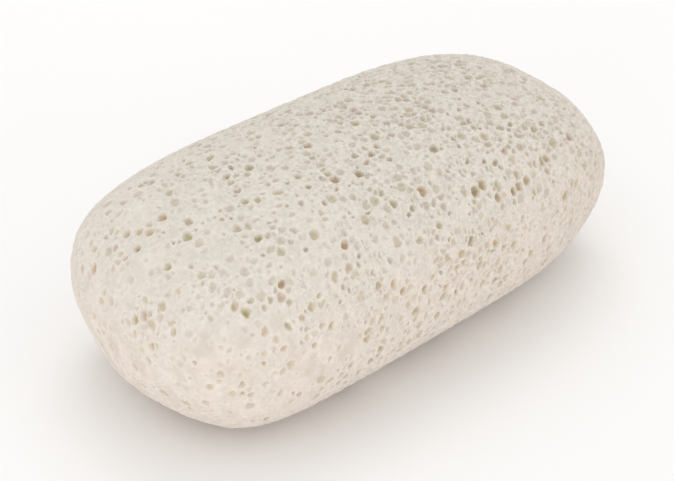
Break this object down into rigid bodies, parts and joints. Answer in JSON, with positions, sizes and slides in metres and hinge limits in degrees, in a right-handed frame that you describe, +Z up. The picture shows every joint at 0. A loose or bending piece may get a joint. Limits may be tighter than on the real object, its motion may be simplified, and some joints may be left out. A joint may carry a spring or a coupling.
{
  "type": "pumice stone",
  "caption": "Hand-sized rounded bar of pale volcanic foam, pitted all over by cut gas bubbles, with a flat underside to rest on.",
  "frame": {"origin": "centre of the stone's footprint, on the plane of the flat that it rests on", "axes": "+X along the stone's length, towards its slightly narrower end; +Y across it; +Z up from the resting flat to the domed top"},
  "size_m": [0.0997, 0.0519, 0.0372],
  "materials": {
    "pumice": "matte"
  },
  "bodies": {
    "root": {"pumice_stone": "pumice"}
  },
  "joints": []
}
